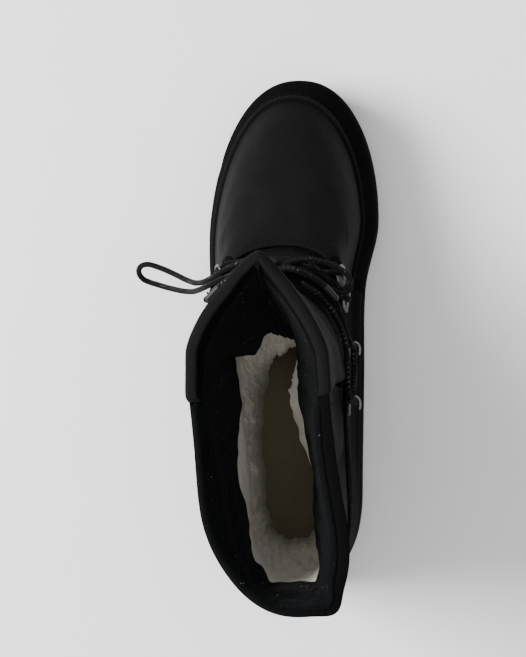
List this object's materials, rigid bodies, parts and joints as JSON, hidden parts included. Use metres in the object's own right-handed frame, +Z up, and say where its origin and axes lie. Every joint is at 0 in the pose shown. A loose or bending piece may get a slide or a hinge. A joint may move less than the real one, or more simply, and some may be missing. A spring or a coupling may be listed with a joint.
{
  "type": "winter boot",
  "caption": "Left winter boot: hollow nylon upper with mudguard, padded tongue, cord lace on rings and hooks, and a lugged rubber sole.",
  "frame": {"origin": "on the ground, in the middle of the boot's box without the free bow of its lace", "axes": "+Z up, +Y towards the toe, +X towards the inner (medial) side of the left foot"},
  "size_m": [0.1382, 0.2929, 0.1916],
  "materials": {
    "sole_rubber": "matt black rubber",
    "lining_plush": "cream short-pile plush",
    "shell_nylon": "black woven nylon with a dull shine",
    "tongue_nylon": "black padded nylon with a soft shine",
    "mudguard_suede": "black matt suede",
    "vamp_nylon": "charcoal fine-woven nylon",
    "quarter_nylon": "black coated nylon",
    "hardware_steel": "bright bent wire",
    "lace_cord": "black braided cord with light flecks"
  },
  "bodies": {
    "root": {"sole": "sole_rubber", "insole": "lining_plush", "upper": "shell_nylon", "tongue": "tongue_nylon", "mudguard": "mudguard_suede", "vamp": "vamp_nylon", "quarter": "quarter_nylon", "lace_ring_medial_1": "hardware_steel", "lace_ring_lateral_1": "hardware_steel", "lace_ring_medial_2": "hardware_steel", "lace_ring_lateral_2": "hardware_steel", "lace_hook_medial_3": "hardware_steel", "lace_hook_lateral_3": "hardware_steel", "lace_hook_medial_4": "hardware_steel", "lace_hook_lateral_4": "hardware_steel", "lace_bars": "lace_cord", "lace_knot": "lace_cord", "lace_loop_lateral": "lace_cord", "lace_loop_medial": "lace_cord", "lace_end_lateral": "lace_cord", "lace_end_medial": "lace_cord"}
  },
  "joints": []
}
